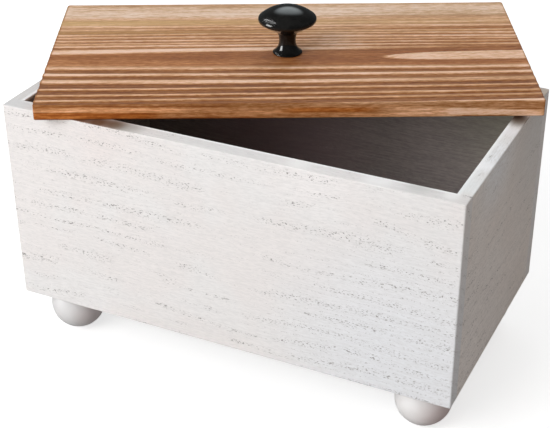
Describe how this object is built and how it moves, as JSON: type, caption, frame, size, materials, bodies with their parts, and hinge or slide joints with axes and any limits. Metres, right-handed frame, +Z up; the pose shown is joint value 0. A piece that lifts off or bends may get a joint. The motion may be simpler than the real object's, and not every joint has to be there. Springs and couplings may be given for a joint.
{
  "type": "wooden storage box",
  "caption": "Rectangular whitewashed wooden box on ball feet, open at the top, with a loose ribbed lid board lying askew on its rim and a mushroom knob to lift it by.",
  "frame": {"origin": "on the surface that the box stands on, midway between its four feet", "axes": "+X along the length of the box, towards its right end seen from the front; -Y out of its front; +Z up"},
  "size_m": [0.2912, 0.2368, 0.1773],
  "materials": {
    "whitewashed_board": "light wood under a sanded matt whitewash, with faint grain and worn spots",
    "painted_foot": "turned wood painted matt white",
    "brushed_lid": "softwood scorched and brushed along the grain, pale ribs between brown grooves, matt",
    "black_knob": "smooth black enamel",
    "zinc_steel": "bright zinc plate"
  },
  "bodies": {
    "root": {"front_board": "whitewashed_board", "back_board": "whitewashed_board", "left_end_board": "whitewashed_board", "right_end_board": "whitewashed_board", "base_panel": "whitewashed_board", "foot_front_left": "painted_foot", "foot_front_right": "painted_foot", "foot_back_left": "painted_foot", "foot_back_right": "painted_foot", "foot_screws": "zinc_steel", "brads": "zinc_steel", "knob_screw": "zinc_steel", "lid_board": "brushed_lid", "knob": "black_knob"}
  },
  "joints": []
}
